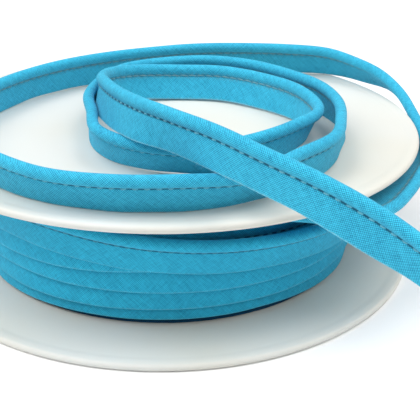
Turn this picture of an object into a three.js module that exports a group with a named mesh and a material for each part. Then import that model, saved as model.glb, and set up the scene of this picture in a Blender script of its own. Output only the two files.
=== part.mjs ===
// Roll of piping: a flanged plastic reel, the piping wound on it, and its long loose end.
// The piping is a flat cloth strip with a cord sewn into one edge, which makes a round bead.
// Millimetres, +Z up along the reel's axis. The origin is the centre of the reel's underside,
// and the free end leaves the reel towards -Y and +X.
import * as THREE from "three";

// Reel
const FLANGE_R = 75;
const RIM_T = 2; // height of the rounded rim, and its width too
const WEB_T = 1.6; // flange inside the rim
const RIM_SLOPE = 0.5; // small bevel from the rim down to the web
const HUB_R = 20;
const HUB_FILLET = 1.5;
const REEL_H = 39.7; // underside of the lower flange to the top of the upper rim
const GAP = 0.3; // kept between pieces that touch
const RIM_ARC_STEPS = 4;
const ROUND_STEPS = 72;

// Piping
const TAPE_W = 11; // raw edge to the top of the bead
const BEAD_D = 3.2;
const CLOTH_T = 1.1; // the flat part, two layers of cloth sewn together
const BEAD_STEPS = 7;
const LOOSE_STEPS = 80;

// Wound roll, by height above the underside. Each higher turn laps over the one below it.
const ROLL_BOTTOM_R = 56.5;
const LAP = 0.9; // how far a turn stands out over the one below
const LAP_RISE = 0.2; // the lap's raw edge, nearly square
const FIRST_LAP_Z = 8.7;
const SECOND_LAP_Z = 13.7;
const TOP_TURN_Z = 17; // raw edge of the last outer turn, which sways up and down the roll
const TOP_TURN_R = 60.2;
const STITCH_UP = 7.6; // stitch line above the raw edge
const UPPER_ROLL_R = 54.3; // turns behind the last one, close under the upper flange

// How far an edge of the roll rises above its mean height, and the angle where it is highest
const SWAY = {
  none: { rise: 0, lead: 0 },
  lap: { rise: 0.5, lead: -60 },
  topTurn: { rise: 5.2, lead: -145 },
};

// Centre line of the loose piping: x, y, z, and its lean in degrees.
// At a lean of 0 it stands on its raw edge with the bead straight up,
// and at a positive one the bead leans to the right of the way that it runs.
const LOOSE_ROUTE = [
  // off the roll, out under the upper flange and up round its rim
  [20.1, -56.1, 33.4, 59],
  [30.1, -56.0, 32.0, 67],
  [39.6, -54.8, 31.2, 73],
  [48.2, -51.9, 31.2, 81],
  [55.4, -46.8, 32.0, 86],
  [61.3, -39.5, 32.7, 81],
  [66.9, -30.5, 32.8, 64],
  [72.1, -20.3, 32.3, 50],
  [75.4, -8.3, 32.8, 22],
  [77.4, 4.5, 35.3, -8],
  [76.9, 17.0, 39.2, -30],
  [73.0, 28.2, 42.6, -42],
  // over the rim and round the top of the flange
  [65.6, 37.2, 44.1, -34],
  [56.0, 44.5, 45.3, -27],
  [42.2, 48.8, 45.1, -17],
  [25.9, 50.3, 45.2, -18],
  [9.8, 48.5, 45.4, -16],
  [-6.0, 44.1, 45.2, -13],
  [-20.3, 37.5, 45.2, -11],
  [-33.2, 28.7, 45.3, -13],
  [-44.1, 17.5, 45.3, -15],
  [-52.2, 3.8, 45.2, -9],
  [-56.7, -11.0, 45.3, -5],
  [-57.3, -26.3, 45.2, -1],
  [-52.5, -40.5, 45.2, 2],
  [-42.1, -52.9, 45.3, 12],
  [-28.3, -62.5, 45.0, 22],
  [-12.9, -67.2, 45.0, 20],
  [3.4, -67.7, 45.0, 19],
  [18.7, -64.5, 44.9, 24],
  // outer turn of the coil
  [31.7, -54.6, 45.6, 9],
  [42.4, -42.7, 45.6, 10],
  [47.5, -28.4, 45.3, -2],
  [50.0, -13.2, 45.5, -12],
  [46.9, 2.2, 45.5, -8],
  [38.6, 15.4, 45.2, 2],
  [27.3, 25.7, 45.4, 8],
  [13.8, 30.9, 45.4, 11],
  [-0.6, 29.4, 45.2, 11],
  [-12.9, 22.2, 45.3, 7],
  [-19.5, 10.1, 45.2, 2],
  [-22.5, -5.1, 45.2, 2],
  [-20.8, -20.3, 45.3, -1],
  [-17.0, -33.5, 45.0, 22],
  [-6.3, -43.2, 44.9, 29],
  [7.8, -46.1, 44.9, 29],
  // inner turn of the coil
  [21.6, -40.9, 45.1, 22],
  [33.4, -31.0, 45.2, 20],
  [41.4, -18.4, 45.0, 22],
  [39.4, -3.0, 45.5, 4],
  [30.4, 9.5, 45.3, 17],
  [18.1, 18.4, 45.3, 21],
  [4.0, 20.9, 45.1, 20],
  [-8.6, 18.3, 45.9, 13],
  // up over the turns below it and out past the rim, drooping to its cut end
  [-16.9, 9.7, 47.6, 0],
  [-19.4, -3.4, 50.0, -10],
  [-17.7, -18.0, 52.8, -13],
  [-13.5, -32.9, 54.5, -19],
  [-7.1, -45.8, 55.7, -17],
  [1.5, -56.9, 56.5, 0],
  [10.8, -67.1, 56.1, -4],
  [20.9, -76.6, 54.3, -1],
  [31.7, -84.7, 51.4, -5],
  [42.5, -91.2, 47.0, -4],
  [52.6, -97.2, 41.8, 11],
  [61.3, -101.7, 35.9, 22],
];

const radians = THREE.MathUtils.degToRad;

// The path of the loose piping. Its frames hold the strip's lean, so that the section's x runs
// across the cloth and its y from the raw edge to the bead.
class LoosePath extends THREE.CatmullRomCurve3 {
  constructor(route) {
    const points = route.map(([x, y, z]) => new THREE.Vector3(x, y, z));
    super(points, false, "catmullrom", 0.5);
    this.leans = route.map((row) => row[3]);
  }

  leanAt(u) {
    const place = this.getUtoTmapping(u, 0) * (this.leans.length - 1);
    const before = Math.min(Math.floor(place), this.leans.length - 2);
    return THREE.MathUtils.lerp(this.leans[before], this.leans[before + 1], place - before);
  }

  computeFrenetFrames(steps) {
    const up = new THREE.Vector3(0, 0, 1);
    const frames = { tangents: [], normals: [], binormals: [] };
    for (let i = 0; i <= steps; i++) {
      const tangent = this.getTangentAt(i / steps);
      const left = new THREE.Vector3().crossVectors(up, tangent).normalize();
      left.applyAxisAngle(tangent, radians(this.leanAt(i / steps)));
      frames.tangents.push(tangent);
      frames.normals.push(left);
      frames.binormals.push(new THREE.Vector3().crossVectors(tangent, left));
    }
    return frames;
  }
}

// Section of the piping: a flat strip with the round bead along its upper edge.
function pipingSection() {
  const half = CLOTH_T / 2;
  const beadR = BEAD_D / 2;
  const beadY = TAPE_W / 2 - beadR;
  const neck = Math.asin(half / beadR) - Math.PI / 2; // where the bead meets the flat part
  const section = new THREE.Shape();
  section.moveTo(-half, -TAPE_W / 2);
  section.lineTo(half, -TAPE_W / 2);
  for (let i = 0; i <= BEAD_STEPS; i++) {
    const angle = THREE.MathUtils.lerp(neck, Math.PI - neck, i / BEAD_STEPS);
    section.lineTo(beadR * Math.cos(angle), beadY + beadR * Math.sin(angle));
  }
  section.closePath();
  return section;
}

// Half circle of the rim's outer edge, from its underside to its top, at height z.
function rimArc(z) {
  const points = [];
  for (let i = 0; i <= RIM_ARC_STEPS; i++) {
    const angle = THREE.MathUtils.lerp(-90, 90, i / RIM_ARC_STEPS);
    const r = FLANGE_R - RIM_T / 2 + (RIM_T / 2) * Math.cos(radians(angle));
    points.push(new THREE.Vector2(r, z + RIM_T / 2 + (RIM_T / 2) * Math.sin(radians(angle))));
  }
  return points;
}

// Top of a flange from its rim inwards to the given radius, over a small bevel.
function flangeTop(z, innerR) {
  const rimInner = FLANGE_R - RIM_T;
  return [
    new THREE.Vector2(rimInner, z + RIM_T),
    new THREE.Vector2(rimInner - RIM_SLOPE, z + WEB_T),
    new THREE.Vector2(innerR, z + WEB_T),
  ];
}

// The reel is two mouldings that meet in the middle of the hub.
const HUB_SPLIT_Z = (WEB_T + REEL_H - RIM_T) / 2;

function lowerHalfProfile() {
  const hubTop = HUB_SPLIT_Z - GAP / 2;
  return [
    new THREE.Vector2(0, 0),
    ...rimArc(0),
    ...flangeTop(0, HUB_R + HUB_FILLET),
    new THREE.Vector2(HUB_R, WEB_T + HUB_FILLET),
    new THREE.Vector2(HUB_R, hubTop),
    new THREE.Vector2(0, hubTop),
  ];
}

function upperHalfProfile() {
  const flangeZ = REEL_H - RIM_T;
  const hubBottom = HUB_SPLIT_Z + GAP / 2;
  return [
    new THREE.Vector2(0, hubBottom),
    new THREE.Vector2(HUB_R, hubBottom),
    new THREE.Vector2(HUB_R, flangeZ - HUB_FILLET),
    new THREE.Vector2(HUB_R + HUB_FILLET, flangeZ),
    ...rimArc(flangeZ),
    ...flangeTop(flangeZ, 0),
  ];
}

// Revolves a profile about the reel's axis, which LatheGeometry has along Y.
function revolved(profile) {
  return new THREE.LatheGeometry(profile, ROUND_STEPS).rotateX(Math.PI / 2);
}

// Outside of the wound roll from its inner bottom corner round to its inner top corner.
// Each row is a radius, a height, and the sway that its height follows round the roll.
function rollRows() {
  const innerR = HUB_R + HUB_FILLET + GAP;
  const bottomZ = WEB_T + GAP;
  const topZ = REEL_H - RIM_T - GAP;
  const firstR = ROLL_BOTTOM_R + LAP;
  const secondR = firstR + LAP;
  const beadTop = TAPE_W; // above the top turn's raw edge
  const beadMid = TAPE_W - BEAD_D / 2;
  const { none, lap, topTurn } = SWAY;
  return [
    [innerR, bottomZ, none],
    [ROLL_BOTTOM_R - LAP, bottomZ, none],
    [ROLL_BOTTOM_R, bottomZ + LAP, none],
    [ROLL_BOTTOM_R, FIRST_LAP_Z, lap],
    [firstR, FIRST_LAP_Z + LAP_RISE, lap],
    [firstR, SECOND_LAP_Z, lap],
    [secondR, SECOND_LAP_Z + LAP_RISE, lap],
    [TOP_TURN_R - LAP, TOP_TURN_Z, topTurn],
    [TOP_TURN_R, TOP_TURN_Z + LAP_RISE, topTurn],
    [TOP_TURN_R, TOP_TURN_Z + STITCH_UP, topTurn],
    [TOP_TURN_R + LAP, TOP_TURN_Z + beadMid - BEAD_D / 3, topTurn],
    [TOP_TURN_R + LAP, TOP_TURN_Z + beadMid + BEAD_D / 4, topTurn],
    [TOP_TURN_R - LAP, TOP_TURN_Z + beadTop, topTurn],
    [UPPER_ROLL_R, TOP_TURN_Z + beadTop, topTurn],
    [UPPER_ROLL_R, topZ, none],
    [innerR, topZ, none],
    [innerR, bottomZ, none],
  ];
}

// One solid of the wound form: a ring whose rows are then raised and lowered round the roll.
function woundRoll() {
  const rows = rollRows();
  const geometry = revolved(rows.map(([r, z]) => new THREE.Vector2(r, z)));
  const position = geometry.getAttribute("position");
  for (let i = 0; i < position.count; i++) {
    const { rise, lead } = rows[i % rows.length][2];
    const angle = Math.atan2(position.getY(i), position.getX(i));
    position.setZ(i, position.getZ(i) + rise * Math.cos(angle - radians(lead)));
  }
  geometry.computeVertexNormals();
  return geometry;
}

function loosePiping() {
  return new THREE.ExtrudeGeometry(pipingSection(), {
    steps: LOOSE_STEPS,
    extrudePath: new LoosePath(LOOSE_ROUTE),
  });
}

const whitePlastic = () =>
  new THREE.MeshStandardMaterial({ color: 0xeef1f1, roughness: 0.28, metalness: 0 });
const blueCotton = () =>
  new THREE.MeshStandardMaterial({ color: 0x2fa6d4, roughness: 0.85, metalness: 0 });

function named(name, geometry, material) {
  const mesh = new THREE.Mesh(geometry, material);
  mesh.name = name;
  return mesh;
}

const group = new THREE.Group();
group.add(
  named("reel_lower_half", revolved(lowerHalfProfile()), whitePlastic()),
  named("reel_upper_half", revolved(upperHalfProfile()), whitePlastic()),
  named("wound_piping", woundRoll(), blueCotton()),
  named("loose_piping", loosePiping(), blueCotton()),
);

export default group;
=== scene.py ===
"""Roll of corded piping on a white plastic reel, dressed over its solid model.

The piping is a flat strip of turquoise cotton, cut on the bias and folded over a cord, which
makes a round bead along one edge with a line of stitches under it. Some twenty metres of it
are wound between the flanges. The loose end climbs round the upper rim, lies in a wide loop
and a small coil on the flange, and runs out over them past the front of the reel.

Metres, +Z up along the reel's axis. Section sizes of the piping are in millimetres.
"""
import logging
from dataclasses import dataclass
from enum import Enum
from math import pi, radians

import bpy
import numpy as np
from mathutils import Matrix, Vector


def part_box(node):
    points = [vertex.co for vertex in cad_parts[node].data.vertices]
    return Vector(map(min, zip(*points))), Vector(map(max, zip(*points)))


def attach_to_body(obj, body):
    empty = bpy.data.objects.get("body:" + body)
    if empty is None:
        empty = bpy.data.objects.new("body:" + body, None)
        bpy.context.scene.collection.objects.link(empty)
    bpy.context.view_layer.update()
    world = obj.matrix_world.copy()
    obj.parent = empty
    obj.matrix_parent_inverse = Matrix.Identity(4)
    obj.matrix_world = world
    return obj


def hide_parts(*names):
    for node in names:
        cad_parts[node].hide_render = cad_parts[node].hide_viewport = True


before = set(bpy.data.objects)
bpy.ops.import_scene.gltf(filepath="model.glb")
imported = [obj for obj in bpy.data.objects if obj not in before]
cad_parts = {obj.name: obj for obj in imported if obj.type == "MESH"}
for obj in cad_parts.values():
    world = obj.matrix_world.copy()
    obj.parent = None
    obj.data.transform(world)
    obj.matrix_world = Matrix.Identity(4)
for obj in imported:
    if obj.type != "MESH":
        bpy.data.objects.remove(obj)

LOG = logging.getLogger("piping")
BODY = "root"
MM = 0.001
UP = np.array([0.0, 0.0, 1.0])
SEED = 11
CLOTH_SMOOTH = 50.0  # degrees up to which an edge of the cloth is shaded smooth


class Slot(Enum):
    """Material slots of the record."""

    PLASTIC = "reel_plastic"
    CLOTH = "piping_cloth"


class Face(Enum):
    """Face of the strip: the right one, seen with the bead up and looking along it, or the left."""

    RIGHT = 1.0
    LEFT = -1.0


# Centre line of the loose piping in metres, and its lean in degrees. At a lean of 0 it stands
# on its raw edge, and at a positive one the bead leans to the right of the way that it runs.
LOOSE_ROUTE = (
    # off the roll, out under the upper flange and up round its rim
    (0.0201, -0.0561, 0.0334, 59),
    (0.0301, -0.0560, 0.0339, 70),
    (0.0396, -0.0548, 0.0331, 79),
    (0.0482, -0.0519, 0.0321, 83),
    (0.0554, -0.0468, 0.0320, 86),
    (0.0613, -0.0395, 0.0327, 81),
    (0.0669, -0.0305, 0.0328, 64),
    (0.0721, -0.0203, 0.0323, 50),
    (0.0754, -0.0083, 0.0328, 22),
    (0.0774, 0.0045, 0.0353, -8),
    (0.0769, 0.0170, 0.0392, -30),
    (0.0730, 0.0282, 0.0426, -42),
    # over the rim and round the top of the flange
    (0.0656, 0.0372, 0.0441, -34),
    (0.0560, 0.0445, 0.0453, -27),
    (0.0422, 0.0488, 0.0451, -17),
    (0.0259, 0.0503, 0.0452, -18),
    (0.0098, 0.0485, 0.0454, -16),
    (-0.0060, 0.0441, 0.0452, -13),
    (-0.0203, 0.0375, 0.0452, -11),
    (-0.0332, 0.0287, 0.0453, -13),
    (-0.0441, 0.0175, 0.0453, -15),
    (-0.0522, 0.0038, 0.0452, -9),
    (-0.0567, -0.0110, 0.0453, -5),
    (-0.0573, -0.0263, 0.0452, -1),
    (-0.0525, -0.0405, 0.0452, 2),
    (-0.0421, -0.0529, 0.0453, 12),
    (-0.0283, -0.0625, 0.0450, 22),
    (-0.0129, -0.0672, 0.0450, 20),
    (0.0034, -0.0677, 0.0450, 19),
    (0.0187, -0.0645, 0.0449, 24),
    # outer turn of the coil
    (0.0317, -0.0546, 0.0456, 9),
    (0.0424, -0.0427, 0.0456, 10),
    (0.0475, -0.0284, 0.0453, -2),
    (0.0500, -0.0132, 0.0455, -12),
    (0.0469, 0.0022, 0.0455, -8),
    (0.0386, 0.0154, 0.0452, 2),
    (0.0273, 0.0257, 0.0454, 8),
    (0.0138, 0.0309, 0.0454, 11),
    (-0.0006, 0.0294, 0.0452, 11),
    (-0.0129, 0.0222, 0.0453, 7),
    (-0.0195, 0.0101, 0.0452, 2),
    (-0.0225, -0.0051, 0.0452, 2),
    (-0.0208, -0.0203, 0.0453, -1),
    (-0.0170, -0.0335, 0.0450, 22),
    (-0.0063, -0.0432, 0.0449, 29),
    (0.0078, -0.0461, 0.0449, 29),
    # inner turn of the coil
    (0.0216, -0.0409, 0.0451, 22),
    (0.0334, -0.0310, 0.0452, 20),
    (0.0414, -0.0184, 0.0450, 22),
    (0.0394, -0.0030, 0.0455, 4),
    (0.0304, 0.0095, 0.0453, 17),
    (0.0181, 0.0184, 0.0453, 21),
    (0.0040, 0.0209, 0.0451, 20),
    (-0.0086, 0.0183, 0.0459, 13),
    # up over the turns below it and out past the rim, drooping to its cut end
    (-0.0169, 0.0097, 0.0476, 0),
    (-0.0194, -0.0034, 0.0500, -10),
    (-0.0177, -0.0180, 0.0528, -13),
    (-0.0135, -0.0329, 0.0545, -19),
    (-0.0071, -0.0458, 0.0557, -17),
    (0.0015, -0.0569, 0.0565, 0),
    (0.0108, -0.0671, 0.0561, -4),
    (0.0209, -0.0766, 0.0543, -1),
    (0.0317, -0.0847, 0.0514, -5),
    (0.0425, -0.0912, 0.0470, -4),
    (0.0526, -0.0972, 0.0418, 11),
    (0.0613, -0.1017, 0.0359, 22),
)

# The turns that show on the outside of the roll, laid like shingles on the turns below them.
# Columns: azimuth in degrees, counted on past each full turn; radius of the strip's outside
# and height of its raw edge, in millimetres; lean in degrees, positive outwards.
WOUND_TURNS = (
    # lowest turn, whose raw edge lifts off the flange across the front
    (-332, 54.6, 2.05, -4),
    (-190, 55.6, 2.1, -5),
    (-138, 55.9, 2.6, -6),
    (-118, 56.0, 3.4, -6),
    (-90, 56.0, 3.6, -6),
    (-60, 56.0, 3.8, -6),
    (-40, 55.9, 2.6, -6),
    (-22, 55.9, 2.1, -6),
    (60, 56.3, 3.4, -6),
    (150, 56.8, 5.4, -6),
    # second turn
    (221, 57.1, 6.7, -8),
    (242, 57.2, 7.0, -8),
    (270, 57.2, 7.5, -8),
    (303, 57.2, 7.6, -8),
    (400, 57.6, 8.7, -6),
    (520, 57.9, 11.2, -6),
    # third turn
    (580, 58.0, 12.6, -8),
    (596, 58.1, 12.9, -8),
    (630, 58.1, 12.9, -8),
    (663, 58.1, 12.7, -8),
    (760, 58.5, 14.0, -6),
    (880, 58.8, 15.8, -6),
    # fourth turn, which slips in behind the last one
    (932, 59.0, 17.3, -6),
    (955, 59.1, 17.7, -7),
    (971, 59.0, 18.7, -10),
    (985, 58.6, 19.7, -16),
    (1001, 58.4, 19.5, -18),
    (1023, 58.5, 18.6, -14),
    (1080, 59.2, 18.8, -6),
    (1170, 59.6, 20.6, -4),
    (1260, 60.2, 22.3, 2),
    # last turn, which dips across the front and leans out over the beads beneath
    (1301, 60.9, 22.9, 8),
    (1323, 61.2, 22.2, 12),
    (1344, 61.4, 20.0, 14),
    (1361, 61.7, 18.7, 17),
    (1383, 62.0, 17.5, 20),
    (1410, 61.9, 15.6, 17),
    (1440, 61.4, 16.6, 6),
    (1500, 61.9, 19.2, 3),
    # over its own bead at the back, to lie nearly flat under the flange
    (1550, 62.6, 22.2, 8),
    (1585, 64.0, 25.6, 26),
    (1615, 64.4, 28.6, 46),
    (1650, 61.4, 30.6, 60),
    (1685, 58.6, 31.1, 64),
    (1712, 58.9, 30.8, 61),
)


def rows_between(rows: np.ndarray, at: np.ndarray) -> np.ndarray:
    """Run a smooth curve through the rows of a table.

    Each span is the cubic that has the rows' values at its two ends, and there the slopes
    of the parabola through each row and its two neighbours.

    Args:
        rows: Table whose first column is the place and whose other columns are values.
        at: Places to read the curve at.

    Returns:
        One row of values for each place.
    """
    place, values = rows[:, 0], rows[:, 1:]
    slopes = np.gradient(values, place, axis=0)
    span = np.clip(np.searchsorted(place, at, side="right") - 1, 0, len(place) - 2)
    width = place[span + 1] - place[span]
    t = ((at - place[span]) / width)[:, None]
    width = width[:, None]
    start, end = values[span], values[span + 1]
    return (
        (1 + 2 * t) * (1 - t) ** 2 * start
        + t * (1 - t) ** 2 * width * slopes[span]
        + t * t * (3 - 2 * t) * end
        + t * t * (t - 1) * width * slopes[span + 1]
    )


def curve_through(points: np.ndarray, per_span: int) -> np.ndarray:
    """Run a smooth curve through points, each end mirrored in its last point.

    Each stretch is the cubic whose slope at a point is half the step between its neighbours.

    Args:
        points: One row for each point, with any number of columns.
        per_span: Samples on each stretch between two points.

    Returns:
        The samples, from the first point to the last.
    """
    ends = np.vstack([2 * points[0] - points[1], points, 2 * points[-1] - points[-2]])
    before, start, end, after = (ends[i : len(ends) - 3 + i, None, :] for i in range(4))
    t = np.linspace(0, 1, per_span, endpoint=False)[None, :, None]
    curve = 0.5 * (
        2 * start
        + (end - before) * t
        + (2 * before - 5 * start + 4 * end - after) * t**2
        + (3 * start - before - 3 * end + after) * t**3
    )
    return np.vstack([curve.reshape(-1, points.shape[1]), points[-1]])


def unit(vectors: np.ndarray) -> np.ndarray:
    """Return the vectors at length 1."""
    return vectors / np.linalg.norm(vectors, axis=-1, keepdims=True)


def smoothstep(low: float, high: float, value: np.ndarray) -> np.ndarray:
    """Return 0 below low and 1 above high, with a smooth S between them."""
    t = np.clip((value - low) / (high - low), 0, 1)
    return t * t * (3 - 2 * t)


@dataclass
class Ribbon:
    """A strip's path as even samples: its centre, the way it runs, and how it is turned.

    Attributes:
        centre: Points on the strip's centre line, in metres.
        along: Unit vectors along the path.
        right: Unit vectors out of the strip's right face.
        bead: Unit vectors in the strip, from its raw edge to its bead.
        run: Distance along the path at each sample, in millimetres.
    """

    centre: np.ndarray
    along: np.ndarray
    right: np.ndarray
    bead: np.ndarray
    run: np.ndarray

    @classmethod
    def through(cls, samples: np.ndarray, step: float, run_start: float = 0.0) -> "Ribbon":
        """Space a dense path evenly and turn the strip by its lean.

        Upright, the strip's right face looks along the path crossed with up. The lean turns
        that and the bead about the path, the bead towards the right.

        Args:
            samples: Columns x, y, z in metres and lean in degrees, closely spaced.
            step: Spacing of the even samples, in metres.
            run_start: Distance already run at the first sample, in millimetres.

        Returns:
            The ribbon.
        """
        legs = np.linalg.norm(np.diff(samples[:, :3], axis=0), axis=1)
        run = np.concatenate([[0.0], np.cumsum(legs)])
        even = np.linspace(0, run[-1], int(round(run[-1] / step)) + 1)
        x, y, z, lean = (np.interp(even, run, column) for column in samples.T)
        centre = np.stack([x, y, z], axis=1)
        along = unit(np.gradient(centre, axis=0))
        side = unit(np.cross(along, UP))
        rise = np.cross(side, along)
        turn = np.radians(lean)[:, None]
        right = side * np.cos(turn) - rise * np.sin(turn)
        bead = rise * np.cos(turn) + side * np.sin(turn)
        return cls(centre, along, right, bead, even / MM + run_start)

    @property
    def length(self) -> float:
        """Length of the path in metres."""
        return float(self.run[-1] - self.run[0]) * MM

    def place(self, run: np.ndarray, across: np.ndarray, height: np.ndarray) -> np.ndarray:
        """Return points beside the path, moved out of the right face and towards the bead.

        Args:
            run: Distances along the piping in millimetres, of any shape.
            across: Distances out of the right face in millimetres, of the same shape.
            height: Distances from the centre line towards the bead in millimetres.

        Returns:
            Points in metres, with the shape of run and a last axis of 3.
        """
        columns = np.hstack([self.centre, self.right, self.bead]).T
        placed = np.stack([np.interp(run, self.run, column) for column in columns], axis=-1)
        centre, right, bead = placed[..., :3], placed[..., 3:6], placed[..., 6:]
        return centre + right * (across * MM)[..., None] + bead * (height * MM)[..., None]


@dataclass(frozen=True)
class Section:
    """Cross-section of the piping, in millimetres: a folded strip with a cord in the fold."""

    width: float = 11.0
    bead_diameter: float = 3.2
    cloth: float = 0.52
    pinch: float = 0.2
    trough_width: float = 0.5
    stitch_height: float = 2.0
    stitch_pitch: float = 2.7
    fold_soften: float = 0.22
    edge_round: float = 0.35
    edge_notch: float = 0.3
    bead_points: int = 11
    flat_points: int = 11

    @property
    def bead_radius(self) -> float:
        """Radius of the bead."""
        return self.bead_diameter / 2

    @property
    def bead_height(self) -> float:
        """Height of the bead's middle above the centre line."""
        return self.width / 2 - self.bead_radius

    def heights(self) -> np.ndarray:
        """Return heights of the section's points on one face, from the bead's top down.

        Over the bead they are a circle's, at equal angles. Below it they are evenly spaced,
        with one more close to the raw edge.
        """
        angles = np.linspace(pi / 2, -0.32 * pi, self.bead_points)
        bead = self.bead_height + self.bead_radius * np.sin(angles)
        edge = -self.width / 2
        flat = np.linspace(bead[-1], edge + 0.3, self.flat_points + 1)[1:]
        return np.concatenate([bead, flat, [edge]])

    def half_thickness(self, height: np.ndarray, run: np.ndarray) -> np.ndarray:
        """Return half the section's thickness.

        It is the larger of the bead's circle and the cloth, blended where they meet. The
        stitches pinch it in a soft trough, deepest where the needle went through, and the
        raw edge is a little thinner.

        Args:
            height: Height above the centre line, in millimetres.
            run: Distance along the piping, in millimetres.

        Returns:
            Half thicknesses in millimetres.
        """
        reach = self.bead_radius**2 - (height - self.bead_height) ** 2
        bead = np.sqrt(np.clip(reach, 0, None))
        needle = 0.5 + 0.5 * np.cos(2 * pi * run / self.stitch_pitch)
        trough = np.exp(-(((height - self.stitch_height) / self.trough_width) ** 2))
        puff = np.exp(-(((height - self.stitch_height - 1.1) / 0.7) ** 2))
        below = 1 - smoothstep(self.stitch_height + 0.5, self.bead_height, height)
        cloth = self.cloth - self.pinch * trough * (0.55 + 0.45 * needle)
        cloth = cloth * (1 - 0.28 * smoothstep(-self.edge_round, 0, -self.width / 2 - height))
        gap = bead - 0.035 * puff * needle - cloth * below
        return cloth * below + 0.5 * (gap + np.sqrt(gap**2 + (self.fold_soften * below) ** 2))

    def unrolled(self) -> np.ndarray:
        """Return how far each point lies from the bead's top over the cloth, in millimetres."""
        heights = self.heights()
        half = self.half_thickness(heights, np.full_like(heights, self.stitch_pitch / 2))
        steps = np.hypot(np.diff(heights), np.diff(half))
        return np.concatenate([[0.0], np.cumsum(steps)])

    def unrolled_at(self, height: float) -> float:
        """Return how far the given height on a face lies from the bead's top, over the cloth."""
        return float(np.interp(-height, -self.heights(), self.unrolled()))


@dataclass(frozen=True)
class Wobble:
    """Slow, uneven waves along the piping, as a sum of sines with seeded phases."""

    amplitude: float
    lengths: tuple[float, ...] = (61.0, 37.0, 23.0, 14.5)
    seed: int = SEED

    def at(self, run: np.ndarray) -> np.ndarray:
        """Return the wave's height at each distance along the piping, in its own unit."""
        phases = np.random.default_rng(self.seed).uniform(0, 2 * pi, len(self.lengths))
        lengths = np.array(self.lengths)
        waves = np.sin(2 * pi * run[..., None] / lengths + phases)
        return self.amplitude * (waves * lengths / lengths.max()).sum(axis=-1)


def new_object(name: str, mesh: bpy.types.Mesh, material: bpy.types.Material) -> bpy.types.Object:
    """Put a mesh into the scene as an object at the origin, with one material.

    Args:
        name: The piece's name.
        mesh: Its mesh, with its place in its points.
        material: Its finish.

    Returns:
        The object.
    """
    mesh.materials.append(material)
    piece = bpy.data.objects.new(name, mesh)
    bpy.context.scene.collection.objects.link(piece)
    return piece


def grid_faces(rows: int, columns: int, wrap: bool) -> np.ndarray:
    """Return the quads of a grid of points, with the last column joined to the first if asked.

    Args:
        rows: Points along the first parameter.
        columns: Points along the second one.
        wrap: Whether the second parameter closes on itself.

    Returns:
        Four point numbers for each quad.
    """
    row = np.arange(rows - 1)[:, None] * columns
    column = np.arange(columns if wrap else columns - 1)[None, :]
    beside = (column + 1) % columns
    corners = (row + column, row + beside, row + columns + beside, row + columns + column)
    return np.stack(corners, axis=-1).reshape(-1, 4)


def mesh_of(name: str, points: np.ndarray, faces: list, smooth_under: float) -> bpy.types.Mesh:
    """Make a mesh that is smooth but for edges sharper than an angle.

    Args:
        name: The mesh's name.
        points: Its points in metres.
        faces: Point numbers of each face.
        smooth_under: Angle in degrees up to which an edge is shaded smooth.

    Returns:
        The mesh.
    """
    mesh = bpy.data.meshes.new(name)
    mesh.from_pydata(points.reshape(-1, 3), [], faces)
    mesh.validate()
    mesh.shade_smooth()
    mesh.set_sharp_from_angle(angle=radians(smooth_under))
    return mesh


def swept_mesh(
    name: str, grid: np.ndarray, run: np.ndarray, over: np.ndarray
) -> bpy.types.Mesh:
    """Make a closed tube of a grid of points, with a flat cap on each end and a map.

    Args:
        name: The mesh's name.
        grid: Points by sample along the path and by point round the section.
        run: The map's first value at each sample.
        over: The map's second value at each point round the section and at the one after it.

    Returns:
        The mesh.
    """
    rows, columns = grid.shape[:2]
    quads = grid_faces(rows, columns, wrap=True)
    first = list(range(columns))[::-1]
    last = [(rows - 1) * columns + i for i in range(columns)]
    mesh = mesh_of(name, grid, quads.tolist() + [first, last], CLOTH_SMOOTH)
    sides = np.empty((rows - 1, columns, 4, 2), dtype=np.float32)
    sides[..., :2, 0] = run[:-1, None, None]
    sides[..., 2:, 0] = run[1:, None, None]
    sides[..., 1] = over[:, (0, 1, 1, 0)]
    caps = np.empty((2, columns, 2), dtype=np.float32)
    caps[..., 0] = run[[0, -1], None]
    caps[0, :, 1] = over[::-1, 0]
    caps[1, :, 1] = over[:, 0]
    layer = mesh.uv_layers.new(name="cloth")
    layer.data.foreach_set("uv", np.concatenate([sides.ravel(), caps.ravel()]))
    return mesh


def strands_mesh(name: str, grids: np.ndarray) -> bpy.types.Mesh:
    """Make many small closed tubes in one mesh.

    Args:
        name: The mesh's name.
        grids: Points by tube, by sample along it and by point round it.

    Returns:
        The mesh.
    """
    count, rows, columns = grids.shape[:3]
    starts = (np.arange(count) * rows * columns)[:, None, None]
    quads = (grid_faces(rows, columns, wrap=True)[None] + starts).reshape(-1, 4)
    ring = np.arange(columns)
    caps = np.stack([ring[::-1], (rows - 1) * columns + ring])
    ends = (caps[None] + starts).reshape(-1, columns)
    return mesh_of(name, grids, quads.tolist() + ends.tolist(), 80)


@dataclass(frozen=True)
class Thread:
    """One side of the seam's thread, in millimetres.

    Attributes:
        radius: Radius of the thread.
        reach: Part of the pitch that a stitch covers.
        slant: How far each end of a stitch lies above or below its middle.
        lift: How far the middle of a stitch arches off the cloth.
        sink: How deep the thread beds into the cloth.
        rings: Rings of points along a stitch.
        sides: Points round the thread.
    """

    radius: float = 0.22
    reach: float = 0.56
    slant: float = 0.1
    lift: float = 0.26
    sink: float = 0.12
    rings: int = 7
    sides: int = 6

    def turns(self) -> np.ndarray:
        """Return the angles of the points round the thread."""
        return (2 * pi * np.arange(self.sides) / self.sides)[None, None, :]


@dataclass(frozen=True)
class Fibres:
    """Fibre ends of a raw edge, in millimetres."""

    per_mm: float = 3.0
    length: float = 1.05
    radius: float = 0.034
    rings: int = 4
    sides: int = 3


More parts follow.
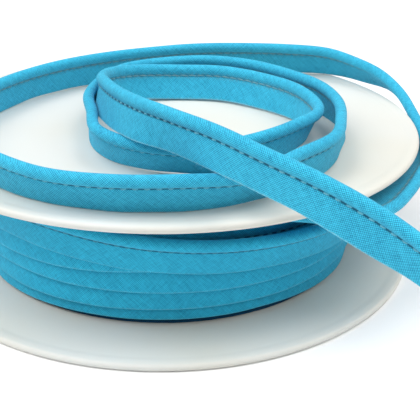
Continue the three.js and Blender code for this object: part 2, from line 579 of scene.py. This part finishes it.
@dataclass
class Piping:
    """A length of piping along a ribbon: its cloth, its stitches and the fray of its raw edge.

    Attributes:
        name: What the names of its pieces start with.
        ribbon: The path that it follows.
        section: Its cross-section.
        edge_wave: Sideways waves of the raw edge, in millimetres.
    """

    name: str
    ribbon: Ribbon
    section: Section
    edge_wave: Wobble

    def sway(self, run: np.ndarray, height: np.ndarray) -> np.ndarray:
        """Return how far the flat of the strip bends sideways, nothing at the bead.

        It is the edge's wave times the square of the part of the flat that lies above.
        """
        flat = self.section.stitch_height + self.section.width / 2
        below = np.clip((self.section.stitch_height - height) / flat, 0, None)
        return self.edge_wave.at(run) * below**2

    def cloth(self, material: bpy.types.Material) -> bpy.types.Object:
        """Sweep the section along the ribbon.

        A point is the ribbon's centre, plus the half thickness out of its face, plus its
        height towards the bead. The map holds the distance along the piping, and over the
        cloth from the bead's top, positive on the right face and negative on the left.

        Args:
            material: The cloth's finish.

        Returns:
            The piece.
        """
        section = self.section
        heights = section.heights()
        fold = [-section.width / 2 + section.edge_notch]
        height = np.concatenate([heights, fold, heights[:0:-1]])
        below = len(heights) - 1
        side = np.concatenate([np.ones(len(heights)), [0.0], -np.ones(below)])
        run = np.broadcast_to(self.ribbon.run[:, None], (len(self.ribbon.run), len(height)))
        tall = np.broadcast_to(height, run.shape)
        across = side * section.half_thickness(tall, run) + self.sway(run, tall)
        grid = self.ribbon.place(run, across, tall)
        over = section.unrolled()
        edge = over[-1] + section.cloth * np.arange(3)
        right = np.stack([over[:-1], over[1:]], axis=1)
        raw = np.stack([edge[:-1], edge[1:]], axis=1)
        mapped = np.concatenate([right, raw, -right[::-1, ::-1]])
        mesh = swept_mesh(f"{self.name}_cloth", grid, self.ribbon.run, mapped)
        return new_object(f"{self.name}_cloth", mesh, material)

    def stitch_runs(self) -> np.ndarray:
        """Return the middle of each stitch along the piping, in millimetres."""
        pitch = self.section.stitch_pitch
        first = np.ceil(self.ribbon.run[0] / pitch + 0.1)
        last = np.floor(self.ribbon.run[-1] / pitch - 0.1)
        return (np.arange(first, last) + 0.5) * pitch

    def stitches(
        self, face: Face, thread: Thread, material: bpy.types.Material
    ) -> bpy.types.Object:
        """Lay one row of stitches on a face, each a short thread that dips in at both ends.

        Along a stitch, the thread's middle rises off the cloth by its lift times a half
        sine, slants across the row in a straight line, and its radius follows the fourth
        root of the same half sine.

        Args:
            face: The face that they show on.
            thread: The thread's sizes on that face.
            material: The thread's finish.

        Returns:
            The piece.
        """
        turns = thread.turns()
        middle = self.stitch_runs()[:, None, None]
        place = np.linspace(-1, 1, thread.rings)[None, :, None]
        arch = np.cos(place * pi / 2 * 0.92)
        jitter = np.random.default_rng(SEED).normal(0, 1, (2, *middle.shape))
        radius = thread.radius * arch**0.25 * (1 + 0.08 * jitter[0])
        run = middle + place * thread.reach * self.section.stitch_pitch / 2
        run = run + 0 * turns
        slant = thread.slant * place + 0.03 * jitter[1]
        height = self.section.stitch_height + slant + radius * np.sin(turns)
        lift = thread.lift * arch - thread.sink + radius * np.cos(turns)
        flat = np.full_like(run, self.section.stitch_height)
        on_cloth = self.section.half_thickness(flat, run)
        across = face.value * (on_cloth + lift) + self.sway(run, height)
        grid = self.ribbon.place(run, across, np.broadcast_to(height, run.shape))
        if face is Face.LEFT:
            grid = grid[..., ::-1, :]
        name = f"{self.name}_stitches_{face.name.lower()}"
        return new_object(name, strands_mesh(name, grid), material)

    def cord_end(self, radius: float, material: bpy.types.Material) -> bpy.types.Object:
        """Close the bead's cut end with the end of the cord, standing just proud of it.

        Args:
            radius: The cord's radius, in millimetres.
            material: The cord's finish.

        Returns:
            The piece.
        """
        turns = 2 * pi * np.arange(16) / 16
        run = np.full((1, 2, 16), self.ribbon.run[-1])
        across = radius * np.cos(turns) + 0 * run
        height = self.section.bead_height + radius * np.sin(turns) + 0 * run
        reach = np.array([-0.5, 0.12])[None, :, None, None] * MM
        grid = self.ribbon.place(run, across, height) + reach * self.ribbon.along[-1]
        name = f"{self.name}_cord_end"
        return new_object(name, strands_mesh(name, grid), material)

    def fray(self, fibres: Fibres, material: bpy.types.Material) -> bpy.types.Object:
        """Set short, bent fibre ends along the raw edge.

        Each leaves the edge at a place drawn at random and bends away from its first
        direction by a parabola, thinning towards its tip.

        Args:
            fibres: How many there are and how long.
            material: Their finish.

        Returns:
            The piece.
        """
        draw = np.random.default_rng(SEED + 1)
        count = int(self.ribbon.length / MM * fibres.per_mm)
        run = draw.uniform(self.ribbon.run[0], self.ribbon.run[-1], count)[:, None]
        side = draw.uniform(-1, 1, count)[:, None]
        length = fibres.length * draw.uniform(0.35, 1.0, count)[:, None] ** 1.5
        aim = draw.normal(0, 1, (3, count, 1))
        bend = draw.normal(0, 0.5, (2, count, 1))
        t = np.linspace(0, 1, fibres.rings)[None, :]
        forward = length * (0.75 * aim[0] * t + bend[0] * t * t)
        outward = length * (0.7 * aim[1] * t + bend[1] * t * t)
        down = length * (0.15 + 0.25 * np.abs(aim[2])) * t - 0.12
        edge = np.full_like(run, -self.section.width / 2)
        half = self.section.half_thickness(edge, run)
        radius = (fibres.radius * (1 - 0.6 * t))[..., None]
        turns = (2 * pi * np.arange(fibres.sides) / fibres.sides)[None, None, :]
        across = (0.8 * side * half + self.sway(run, edge) + outward)[..., None]
        across = across + radius * np.cos(turns)
        height = (edge - down)[..., None] + 0 * turns
        along = (run + forward)[..., None] + radius * np.sin(turns)
        grid = self.ribbon.place(along, across, height)
        name = f"{self.name}_fray"
        return new_object(name, strands_mesh(name, grid), material)


class Value:
    """A number on a node's socket. Python's operators on it add Math nodes."""

    def __init__(self, shader: "Shader", socket: bpy.types.NodeSocket) -> None:
        """Wrap a socket of the shader's tree."""
        self.shader = shader
        self.socket = socket

    def __add__(self, other: "Value | float") -> "Value":
        """Return the sum."""
        return self.shader.math("ADD", self, other)

    def __sub__(self, other: "Value | float") -> "Value":
        """Return the difference."""
        return self.shader.math("SUBTRACT", self, other)

    def __rsub__(self, other: float) -> "Value":
        """Return a number less this value."""
        return self.shader.math("SUBTRACT", other, self)

    def __mul__(self, other: "Value | float") -> "Value":
        """Return the product."""
        return self.shader.math("MULTIPLY", self, other)

    def __truediv__(self, other: "Value | float") -> "Value":
        """Return the quotient."""
        return self.shader.math("DIVIDE", self, other)

    __radd__ = __add__
    __rmul__ = __mul__


class Shader:
    """A material's node tree, built up by expressions."""

    def __init__(self, name: str) -> None:
        """Make an empty material of that name."""
        self.material = bpy.data.materials.new(name)
        self.material.use_nodes = True
        self.tree = self.material.node_tree
        self.tree.nodes.clear()

    def node(
        self, kind: str, settings: dict | None = None, inputs: dict | None = None
    ) -> bpy.types.Node:
        """Add a node.

        Args:
            kind: The node's type.
            settings: Its properties, which are set first.
            inputs: By socket name or number, a value or what is linked to it.

        Returns:
            The node.
        """
        node = self.tree.nodes.new(kind)
        for key, setting in (settings or {}).items():
            setattr(node, key, setting)
        for key, given in (inputs or {}).items():
            if isinstance(given, Value):
                given = given.socket
            if isinstance(given, bpy.types.NodeSocket):
                self.tree.links.new(given, node.inputs[key])
            else:
                node.inputs[key].default_value = given
        return node

    def math(self, operation: str, *terms: Value | float) -> Value:
        """Return the result of a Math node on the terms."""
        node = self.node("ShaderNodeMath", {"operation": operation}, dict(enumerate(terms)))
        return Value(self, node.outputs[0])

    def smooth(self, low: float, high: float, value: Value) -> Value:
        """Return 0 at low and 1 at high, with a smooth S between them, clamped outside."""
        inputs = {"Value": value, "From Min": low, "From Max": high}
        node = self.node("ShaderNodeMapRange", {"interpolation_type": "SMOOTHSTEP"}, inputs)
        return Value(self, node.outputs[0])

    def split(self, vector: bpy.types.NodeSocket) -> tuple[Value, Value, Value]:
        """Return a vector's three numbers."""
        node = self.node("ShaderNodeSeparateXYZ", inputs={0: vector})
        return tuple(Value(self, output) for output in node.outputs)

    def join(self, *numbers: Value | float) -> bpy.types.NodeSocket:
        """Return the vector of up to three numbers."""
        return self.node("ShaderNodeCombineXYZ", inputs=dict(enumerate(numbers))).outputs[0]

    def place(self) -> bpy.types.NodeSocket:
        """Return the place on the object, in metres."""
        return self.node("ShaderNodeTexCoord").outputs["Object"]

    def noise(self, where: bpy.types.NodeSocket, scale: float, detail: float = 2.0) -> Value:
        """Return smooth noise about 0.5, with features one over the scale in size."""
        inputs = {"Vector": where, "Scale": scale, "Detail": detail}
        return Value(self, self.node("ShaderNodeTexNoise", inputs=inputs).outputs[0])

    def mix(
        self,
        factor: Value | float,
        first: bpy.types.NodeSocket | tuple,
        second: bpy.types.NodeSocket | tuple,
    ) -> bpy.types.NodeSocket:
        """Return a colour between two others, the first at factor 0 and the second at 1."""
        inputs = {0: factor, 6: first, 7: second}
        return self.node("ShaderNodeMix", {"data_type": "RGBA"}, inputs).outputs[2]

    def bump(self, height: Value, depth: float, strength: float = 1.0) -> bpy.types.NodeSocket:
        """Return the normal of a surface raised by a height of 0 to 1 times the depth."""
        inputs = {"Height": height, "Distance": depth, "Strength": strength}
        return self.node("ShaderNodeBump", inputs=inputs).outputs[0]

    def surface(self, **sockets: object) -> bpy.types.Material:
        """Close the material with a Principled shader.

        Args:
            sockets: Its sockets by name, with an underscore for each space.

        Returns:
            The material.
        """
        inputs = {name.replace("_", " "): given for name, given in sockets.items()}
        shade = self.node("ShaderNodeBsdfPrincipled", inputs=inputs)
        self.node("ShaderNodeOutputMaterial", inputs={"Surface": shade.outputs[0]})
        return self.material


def colour(red: float, green: float, blue: float) -> tuple[float, float, float, float]:
    """Return the linear colour of screen values from 0 to 255."""
    screen = np.array([red, green, blue]) / 255
    linear = np.where(screen <= 0.04045, screen / 12.92, ((screen + 0.055) / 1.055) ** 2.4)
    return (*(float(channel) for channel in linear), 1.0)


@dataclass(frozen=True)
class BiasCotton:
    """Plain-weave cotton cut on the bias, so its threads cross the strip at 45 degrees.

    The map gives millimetres along the piping and over the cloth from the bead's top,
    positive on the right face and negative on the left.

    Attributes:
        name: The material's name.
        section: Section of the piping, or None for cloth with no seam or edge.
        thread: Spacing of the threads, in millimetres.
        lit: Colour on top of a thread, with painted light.
        deep: Colour between threads, painted shade.
        pale: Colour of frayed thread ends.
        fray: How far that colour shows along the raw edge, 0 to 1.
        relief: Depth of the weave's bumps and contrast of its painted light and shade, 1 for cloth
            that has not been pressed flat.
        seam: Greyish tint along the seam on the left face, partly the thread's own grey and partly
            painted shade under the bead.
        hole: Colour of the painted shade in the needle holes and deep in the seam.
    """

    name: str
    section: Section | None
    thread: float = 0.40
    lit: tuple = colour(74, 215, 246)
    deep: tuple = colour(5, 112, 160)
    pale: tuple = colour(140, 210, 226)
    fray: float = 0.6
    relief: float = 0.85
    seam: tuple = colour(92, 150, 164)
    hole: tuple = colour(8, 70, 100)

    def weave(self, shader: Shader, along: Value, over: Value) -> Value:
        """Return the height of the weave.

        Each thread is a half sine across, and rises and falls along its length by a cosine
        that changes sign from one crossing to the next. The higher of the two sets shows.
        """
        spacing = self.thread * 2**0.5
        warp, weft = (along + over) / spacing, (along - over) / spacing
        warp_no, weft_no = shader.math("FLOOR", warp), shader.math("FLOOR", weft)
        warp_round = shader.math("SINE", (warp - warp_no) * pi)
        weft_round = shader.math("SINE", (weft - weft_no) * pi)
        warp_lift = shader.math("COSINE", (weft - 0.5 + warp_no) * pi)
        weft_lift = shader.math("COSINE", (warp - 0.5 + weft_no) * pi)
        warp_top = warp_round * (0.58 + 0.42 * warp_lift)
        weft_top = weft_round * (0.58 - 0.42 * weft_lift)
        return shader.math("MAXIMUM", warp_top, weft_top)

    def trim(
        self, shader: Shader, along: Value, over: Value, cloth: bpy.types.NodeSocket, grain: Value
    ) -> tuple[bpy.types.NodeSocket, Value]:
        """Add the seam and the raw edge to the cloth, with painted shade in and beside the seam.

        Args:
            shader: The material's shader.
            along: Millimetres along the piping.
            over: Millimetres over the cloth.
            cloth: The cloth's colour.
            grain: Fine noise.

        Returns:
            The colour with both, and how deep the needle holes and the seam sink, 0 to 1.
        """
        seam_at = self.section.unrolled_at(self.section.stitch_height)
        edge_at = float(self.section.unrolled()[-1])
        reach = shader.math("ABSOLUTE", over)
        pitch = self.section.stitch_pitch
        step = shader.math("FRACT", along / pitch + 0.5)
        from_hole = shader.math("ABSOLUTE", step - 0.5) * pitch
        off_seam = shader.math("ABSOLUTE", reach - seam_at)
        hole = shader.smooth(0.95, 0.5, from_hole) * shader.smooth(0.5, 0.2, off_seam)
        groove = shader.smooth(0.75, 0.1, off_seam)
        left = shader.smooth(0.1, -0.1, over)
        right = 1 - left
        # A speckled grey band along the seam on the left face: the thread's own grey, and painted
        # shade under the bead.
        seam_tint_and_shade = left * shader.smooth(1.5, 0.3, off_seam) * shader.smooth(0.35, 0.6, grain)
        edge = shader.smooth(edge_at - 0.55, edge_at - 0.02, reach + (grain - 0.5) * 0.9)
        cloth = shader.mix(seam_tint_and_shade * 0.5, cloth, self.seam)
        cloth = shader.mix(edge * self.fray, cloth, self.pale)
        # Painted shade darkens the seam's groove and the needle holes on the right face.
        cloth = shader.mix(groove * 0.4 + hole * right * 0.5, cloth, self.hole)
        return cloth, shader.math("MINIMUM", groove * 0.35 + hole, 1.0)

    def build(self) -> bpy.types.Material:
        """Return the cloth's material."""
        shader = Shader(self.name)
        mapped = shader.node("ShaderNodeUVMap", {"uv_map": "cloth"}).outputs[0]
        along, over, _ = shader.split(mapped)
        place = shader.place()
        weave = self.weave(shader, along, over)
        slub = shader.noise(shader.join(along + over, (along - over) * 0.12), 1.9)
        cross = shader.noise(shader.join(along - over, (along + over) * 0.12, 7.0), 1.9)
        grain = shader.noise(place, 1500.0)
        patch = shader.noise(place, 42.0)
        crown = shader.smooth(0.3, 1.0, weave) - 0.5
        threads = crown * self.relief + (slub + cross) * 0.6
        # Thread tops take the lit colour and the gaps between threads the darker one: painted light
        # and painted shade of the weave, with slubs that vary the tone at random.
        cloth = shader.mix(shader.math("MINIMUM", threads, 1.0), self.deep, self.lit)
        # Random darker patches of tone, mixed towards the colour of the painted shade between
        # threads.
        cloth = shader.mix(shader.smooth(0.35, 0.75, patch) * 0.12, cloth, self.deep)
        height = weave + (slub + cross) * 0.5
        if self.section:
            cloth, sunk = self.trim(shader, along, over, cloth, grain)
            height = height - sunk * 1.4
        fuzz = shader.noise(place, 5200.0)
        normal = shader.bump(height + fuzz * 0.35, 0.11 * MM, 0.8 * self.relief)
        return shader.surface(
            Base_Color=cloth,
            Roughness=0.82 + 0.1 * (grain - 0.5),
            Specular_IOR_Level=0.22,
            Sheen_Weight=0.2,
            Sheen_Roughness=0.45,
            Sheen_Tint=colour(190, 240, 255),
            Normal=normal,
        )


@dataclass(frozen=True)
class SewingThread:
    """Matt thread in a colour a little greyer than the cloth."""

    name: str
    top: tuple
    low: tuple

    def build(self) -> bpy.types.Material:
        """Return the thread's material."""
        shader = Shader(self.name)
        place = shader.place()
        twist = shader.noise(place, 3600.0, detail=1.0)
        tone = shader.noise(place, 300.0)
        return shader.surface(
            Base_Color=shader.mix(twist * 0.6 + tone * 0.4, self.low, self.top),
            Roughness=0.6 + 0.2 * twist,
            Sheen_Weight=0.2,
            Normal=shader.bump(twist, 0.05 * MM, 0.8),
        )


@dataclass(frozen=True)
class MouldedPlastic:
    """Glossy white plastic from a polished mould, a little cloudy and creamy in places."""

    name: str = "white_plastic"
    body: tuple = colour(220, 221, 217)
    cream: tuple = colour(217, 215, 205)

    def build(self) -> bpy.types.Material:
        """Return the plastic's material."""
        shader = Shader(self.name)
        place = shader.place()
        cloud = shader.noise(place, 14.0)
        skin = shader.noise(place, 260.0)
        return shader.surface(
            Base_Color=shader.mix(shader.smooth(0.35, 0.7, cloud), self.body, self.cream),
            Roughness=0.52 + 0.06 * cloud,
            Specular_IOR_Level=0.35,
            Normal=shader.bump(skin, 0.02 * MM, 0.4),
        )


def turned_mesh(name: str, outline: np.ndarray, steps: int, smooth_under: float) -> bpy.types.Mesh:
    """Turn an outline about Z.

    A point is the outline's radius times the cosine and sine of its angle, at the outline's
    height. The outline's two ends lie on the axis, where each becomes one point.

    Args:
        name: The mesh's name.
        outline: Radius and height of each point from the lower end on the axis, in metres.
        steps: Points round the axis.
        smooth_under: Angle in degrees up to which an edge is shaded smooth.

    Returns:
        The mesh.
    """
    angle = 2 * pi * np.arange(steps) / steps
    rings = outline[1:-1]
    x = rings[:, :1] * np.cos(angle)
    y = rings[:, :1] * np.sin(angle)
    z = np.broadcast_to(rings[:, 1:], x.shape)
    sides = np.stack([x, y, z], axis=-1).reshape(-1, 3)
    poles = np.array([[0, 0, outline[0, 1]], [0, 0, outline[-1, 1]]])
    ring = np.arange(steps)
    beside = (ring + 1) % steps
    top = (len(rings) - 1) * steps
    low = np.stack([np.full(steps, len(sides)), beside, ring], axis=1)
    high = np.stack([np.full(steps, len(sides) + 1), top + ring, top + beside], axis=1)
    quads = grid_faces(len(rings), steps, wrap=True)
    faces = quads.tolist() + low.tolist() + high.tolist()
    return mesh_of(name, np.vstack([sides, poles]), faces, smooth_under)


@dataclass
class Reel:
    """The moulded reel: two halves, each a flange with a rounded raised rim and half the hub.

    Attributes:
        rim: Height of the rim, and its width.
        web: Thickness of the flange inside the rim.
        slope: Width of the soft step from the rim down to the flange.
        hub_radius: Radius of the hub.
        hub_fillet: Radius of the fillet between hub and flange.
        steps: Points round the axis.
    """

    rim: float = 2.0 * MM
    web: float = 1.75 * MM
    slope: float = 1.8 * MM
    hub_radius: float = 20.0 * MM
    hub_fillet: float = 1.5 * MM
    steps: int = 288

    def rim_edge(self, radius: float, low: float) -> np.ndarray:
        """Return the rim's outer edge from its underside up, half a circle."""
        half = self.rim / 2
        turn = np.linspace(-pi / 2, pi / 2, 13)
        return np.stack([radius - half + half * np.cos(turn), low + half + half * np.sin(turn)], 1)

    def flange_top(self, radius: float, low: float, inner: float) -> np.ndarray:
        """Return the top of a flange from its rim in to a radius.

        The step down from the rim is a smooth S.
        """
        t = np.linspace(0, 1, 12)
        crown = radius - self.rim * 0.95
        r = crown - t * self.slope * 1.8
        drop = (self.rim - self.web) * smoothstep(0, 0.75, t)
        step = np.stack([r, low + self.rim - drop], axis=1)
        web = np.array([[r[-1] - 2.5 * MM, low + self.web], [inner, low + self.web]])
        return np.vstack([step, web])

    def fillet(self, low: float, towards: float) -> np.ndarray:
        """Return the hub's fillet onto a flange's face, a quarter circle from the face in."""
        turn = np.linspace(0, pi / 2, 6)
        r = self.hub_radius + self.hub_fillet * (1 - np.sin(turn))
        z = low + towards * self.hub_fillet * (1 - np.cos(turn))
        return np.stack([r, z], axis=1)

    def lower_half(self, material: bpy.types.Material) -> bpy.types.Object:
        """Turn the lower flange and its half of the hub, in the place of its solid."""
        low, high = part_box("reel_lower_half")
        outline = np.vstack([
            [[0, low[2]]],
            self.rim_edge(high[0], low[2]),
            self.flange_top(high[0], low[2], self.hub_radius + self.hub_fillet),
            self.fillet(low[2] + self.web, 1.0)[1:],
            [[self.hub_radius, high[2]], [0, high[2]]],
        ])
        return self.turned("reel_lower", outline, material)

    def upper_half(self, material: bpy.types.Material) -> bpy.types.Object:
        """Turn the upper flange and its half of the hub, in the place of its solid."""
        low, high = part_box("reel_upper_half")
        flange = high[2] - self.rim
        outline = np.vstack([
            [[0, low[2]], [self.hub_radius, low[2]]],
            self.fillet(flange, -1.0)[::-1],
            self.rim_edge(high[0], flange),
            self.flange_top(high[0], flange, self.hub_radius),
            [[0, flange + self.web]],
        ])
        return self.turned("reel_upper", outline, material)

    def turned(
        self, name: str, outline: np.ndarray, material: bpy.types.Material
    ) -> bpy.types.Object:
        """Turn an outline into a piece."""
        return new_object(name, turned_mesh(name, outline, self.steps, 40), material)


@dataclass
class WoundRoll:
    """The piping wound on the reel: the turns that show, over a core of the turns beneath.

    Attributes:
        section: Cross-section of the piping.
        step: Spacing of the samples along the turns, in metres.
        core_radius: Radius of the core between its beads.
        bead_swell: How far the core's beads stand out.
        bead_pitch: Spacing of the core's beads up the roll.
        bore_radius: Radius of the core's bore, just off the hub.
        rows: Rings of points up the core.
        steps: Points round the core.
    """

    section: Section
    step: float = 1.15 * MM
    core_radius: float = 54.0 * MM
    bead_swell: float = 1.1 * MM
    bead_pitch: float = 4.7 * MM
    bore_radius: float = 21.0 * MM
    rows: int = 150
    steps: int = 240

    def ribbon(self) -> Ribbon:
        """Lay out the turns that show, up to where the loose piping leaves the roll.

        The table's rows become centre-line rows, the first two points of the loose route are
        added as rows so that the two meet in one line, and the curve through them is read in
        polar coordinates.

        Returns:
            The ribbon.
        """
        az, outside, raw, lean = np.array(WOUND_TURNS, dtype=float).T
        radius = outside - self.section.cloth
        centre = raw + self.section.width / 2 * np.cos(np.radians(lean))
        rows = np.stack([az, radius, centre, lean], axis=1)
        start = np.array(LOOSE_ROUTE[:2])
        x, y, z = start[:, :3].T / MM
        turned = az[-1] + (np.degrees(np.arctan2(y, x)) - az[-1]) % 360
        rows = np.vstack([rows, np.stack([turned, np.hypot(x, y), z, start[:, 3]], axis=1)])
        at = np.arange(rows[0, 0], turned[0], 0.5)
        radius, centre, lean = rows_between(rows, np.append(at, turned[0])).T
        angle = np.radians(np.append(at, turned[0]))
        place = np.stack([radius * np.cos(angle), radius * np.sin(angle), centre], axis=1) * MM
        return Ribbon.through(np.column_stack([place, lean]), self.step)

    def core(self, material: bpy.types.Material) -> bpy.types.Object:
        """Make the turns beneath, as one ring whose outside swells at each bead.

        The radius is the core's plus the swell times the square root of a half sine of the
        height, which climbs by one bead's spacing in a full turn.

        Args:
            material: The cloth's finish, painted dark as shade.

        Returns:
            The piece.
        """
        low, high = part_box("wound_piping")
        rows, steps = self.rows, self.steps
        angle = 2 * pi * np.arange(steps) / steps
        tall = np.linspace(low[2], high[2], rows)
        climb = tall[:, None] / self.bead_pitch - angle[None, :] / (2 * pi)
        radius = self.core_radius + self.bead_swell * np.sqrt(np.abs(np.sin(pi * climb)))
        inner = np.full((2, steps), self.bore_radius)
        radius = np.vstack([inner[:1], radius, inner[1:]])
        tall = np.concatenate([[low[2]], tall, [high[2]]])[:, None] + 0 * radius
        grid = np.stack([radius * np.cos(angle), radius * np.sin(angle), tall], axis=-1)
        quads = grid_faces(rows + 2, steps, wrap=True)
        top = (rows + 1) * steps
        ring = np.arange(steps)
        beside = (ring + 1) % steps
        bore = np.stack([ring, top + ring, top + beside, beside], axis=1)
        mesh = mesh_of("roll_core", grid, quads.tolist() + bore[:, ::-1].tolist(), 60)
        around = np.arange(steps + 1) * 2 * pi / steps * self.core_radius / MM
        u = np.stack([around[:-1], around[1:], around[1:], around[:-1]], axis=1)
        v = tall[:, 0] / MM
        uv = np.empty((rows + 1, steps, 4, 2), dtype=np.float32)
        uv[..., 0] = u[None]
        uv[..., :2, 1] = v[:-1, None, None]
        uv[..., 2:, 1] = v[1:, None, None]
        bore_uv = np.zeros((steps, 4, 2), dtype=np.float32)
        layer = mesh.uv_layers.new(name="cloth")
        layer.data.foreach_set("uv", np.concatenate([uv.ravel(), bore_uv.ravel()]))
        return new_object("roll_core", mesh, material)


@dataclass(frozen=True)
class AreaLight:
    """A square light that faces a point near the reel's middle."""

    name: str
    place: tuple[float, float, float]
    size: float
    power: float
    aim: tuple[float, float, float] = (0.0, 0.0, 0.02)

    def add(self) -> None:
        """Put the light into the scene."""
        light = bpy.data.lights.new(self.name, "AREA")
        light.size = self.size
        light.energy = self.power
        lamp = bpy.data.objects.new(self.name, light)
        lamp.location = self.place
        towards = Vector(self.aim) - Vector(self.place)
        lamp.rotation_euler = towards.to_track_quat("-Z", "Y").to_euler()
        bpy.context.scene.collection.objects.link(lamp)


TENT_LIGHTS = (
    AreaLight("over", (0.0, 0.0, 1.2), 1.2, 4.9),
    AreaLight("over_left", (-0.6, -0.2, 1.1), 0.8, 8.6),
    AreaLight("over_right", (0.6, 0.0, 1.1), 0.8, 6.8),
    AreaLight("front", (0.0, -1.0, 0.9), 0.6, 4.6),
    AreaLight("left", (-1.1, 0.1, 0.6), 0.8, 5.3),
    AreaLight("right", (1.1, 0.0, 0.6), 0.8, 3.3),
)


@dataclass(frozen=True)
class Studio:
    """White table, soft light and the camera at the photograph's place.

    Attributes:
        distance: Camera to the middle of the reel's underside, in metres.
        elevation: Camera's height over the table as seen from there, in degrees.
        pan: Turn of the camera to its right from that point, in degrees.
        tilt: Turn of the camera up from it.
        roll: Turn of the camera about its own line of sight.
        focal: Focal length, in widths of the picture.
        floor_half: Half the width of the table.
        world: Strength of the surround as a light.
    """

    distance: float = 3.845 * 75 * MM
    elevation: float = 26.588
    pan: float = 2.70
    tilt: float = -1.65
    roll: float = 0.67
    focal: float = 895.05 / 420
    floor_half: float = 0.5
    world: float = 0.06

    def camera(self) -> None:
        """Add the camera, aimed at the point and then turned by pan, tilt and roll."""
        lens = bpy.data.cameras.new("camera")
        lens.sensor_width = 36.0
        lens.sensor_fit = "HORIZONTAL"
        lens.lens = self.focal * lens.sensor_width
        lens.clip_start = 0.01
        camera = bpy.data.objects.new("camera", lens)
        rise = Matrix.Rotation(radians(90 - self.elevation), 4, "X")
        turn = Matrix.Rotation(radians(-self.pan), 4, "Y")
        tip = Matrix.Rotation(radians(-self.tilt), 4, "X")
        spin = Matrix.Rotation(radians(-self.roll), 4, "Z")
        back = Matrix.Translation(rise @ Vector((0, 0, self.distance)))
        camera.matrix_world = back @ rise @ turn @ tip @ spin
        bpy.context.scene.collection.objects.link(camera)
        bpy.context.scene.camera = camera

    def floor(self) -> None:
        """Add the white table, just under the reel."""
        reach = self.floor_half
        corners = np.array([(-reach, -reach), (reach, -reach), (reach, reach), (-reach, reach)])
        points = np.column_stack([corners, np.full(4, -0.05 * MM)])
        shader = Shader("table")
        white = shader.surface(Base_Color=(0.93, 0.93, 0.93, 1), Roughness=0.75)
        table = new_object("table", mesh_of("table", points, [(0, 1, 2, 3)], 30), white)

    def light(self) -> None:
        """Add a tent of soft lights, and a faint surround that the camera sees as white."""
        for tent_light in TENT_LIGHTS:
            tent_light.add()
        world = bpy.data.worlds.new("surround")
        world.use_nodes = True
        glow = world.node_tree.nodes["Background"]
        glow.inputs["Color"].default_value = (1.0, 1.0, 1.0, 1)
        tree = world.node_tree
        seen = tree.nodes.new("ShaderNodeLightPath").outputs["Is Camera Ray"]
        strength = tree.nodes.new("ShaderNodeMath")
        strength.operation = "MULTIPLY_ADD"
        strength.inputs[1].default_value = 1 - self.world
        strength.inputs[2].default_value = self.world
        tree.links.new(seen, strength.inputs[0])
        tree.links.new(strength.outputs[0], glow.inputs["Strength"])
        bpy.context.scene.world = world
        bpy.context.scene.view_settings.view_transform = "Standard"


CHAIN = Thread(reach=1.12, radius=0.23)  # the looser loops on the strip's left face

# Names of the threads' finishes, with screen values of their lighter and darker colours.
THREADS = (
    ("needle_thread", (112, 196, 214), (66, 150, 176)),
    # The wound's stitches take a darker copy of the needle thread, painted shade in the roll's
    # seams.
    ("shaded_wound_thread", (70, 160, 182), (22, 96, 122)),
    ("looper_thread", (128, 186, 196), (62, 130, 150)),
    ("frayed_fibre", (205, 238, 246), (130, 208, 230)),
    ("cotton_cord", (232, 236, 236), (196, 206, 208)),
)


def attach(piece: bpy.types.Object, slot: Slot, *solids: str) -> bpy.types.Object:
    """Fix a piece to the reel's body, and hide the solids that it stands for."""
    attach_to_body(piece, BODY)
    if solids:
        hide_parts(*solids)
    LOG.info("%s: %d faces", piece.name, len(piece.data.polygons))
    return piece


def main() -> None:
    """Build every piece in order."""
    logging.basicConfig(level=logging.INFO, format="%(message)s")
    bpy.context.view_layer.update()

    studio = Studio()
    studio.camera()
    studio.floor()
    studio.light()

    section = Section()
    cotton = BiasCotton("turquoise_cotton", section).build()
    # The wound cloth's lit colour is a little darker, painted shade of the roll under the upper
    # flange; its flatter weave and fewer frayed ends are real.
    shaded_wound_cotton = BiasCotton(
        "turquoise_cotton_wound_shaded", section, lit=colour(58, 208, 242), fray=0.2, relief=0.5
    ).build()
    # The turns beneath are painted dark all over: painted shade for the deep shadow under the upper
    # flange and below the lowest turn.
    shaded_inner_cotton = BiasCotton(
        "turquoise_cotton_inner_turns", None, lit=colour(10, 84, 122), deep=colour(3, 44, 70)
    ).build()
    needle_thread, shaded_wound_thread, chain_thread, fibre, cord = (
        SewingThread(name, colour(*top), colour(*low)).build() for name, top, low in THREADS
    )
    plastic = MouldedPlastic().build()

    roll = WoundRoll(section)
    wound = Piping("wound", roll.ribbon(), section, Wobble(0.12))
    run_start = float(wound.ribbon.run[-1])
    path = curve_through(np.array(LOOSE_ROUTE, dtype=float), 24)
    loose = Piping("loose", Ribbon.through(path, 0.8 * MM, run_start), section, Wobble(0.22))

    loose_cloth = attach(loose.cloth(cotton), Slot.CLOTH, "loose_piping")
    seams = [
        attach(loose.stitches(Face.RIGHT, Thread(), needle_thread), Slot.CLOTH),
        attach(loose.stitches(Face.LEFT, CHAIN, chain_thread), Slot.CLOTH),
        attach(loose.fray(Fibres(), fibre), Slot.CLOTH),
        attach(loose.cord_end(1.05, cord), Slot.CLOTH),
    ]

    attach(wound.cloth(shaded_wound_cotton), Slot.CLOTH, "wound_piping")
    attach(wound.stitches(Face.RIGHT, Thread(radius=0.17), shaded_wound_thread), Slot.CLOTH)
    attach(wound.fray(Fibres(per_mm=0.5, length=0.45), fibre), Slot.CLOTH)
    attach(roll.core(shaded_inner_cotton), Slot.CLOTH)

    reel = Reel()
    attach(reel.lower_half(plastic), Slot.PLASTIC, "reel_lower_half")
    attach(reel.upper_half(plastic), Slot.PLASTIC, "reel_upper_half")


if __name__ == "__main__":
    main()
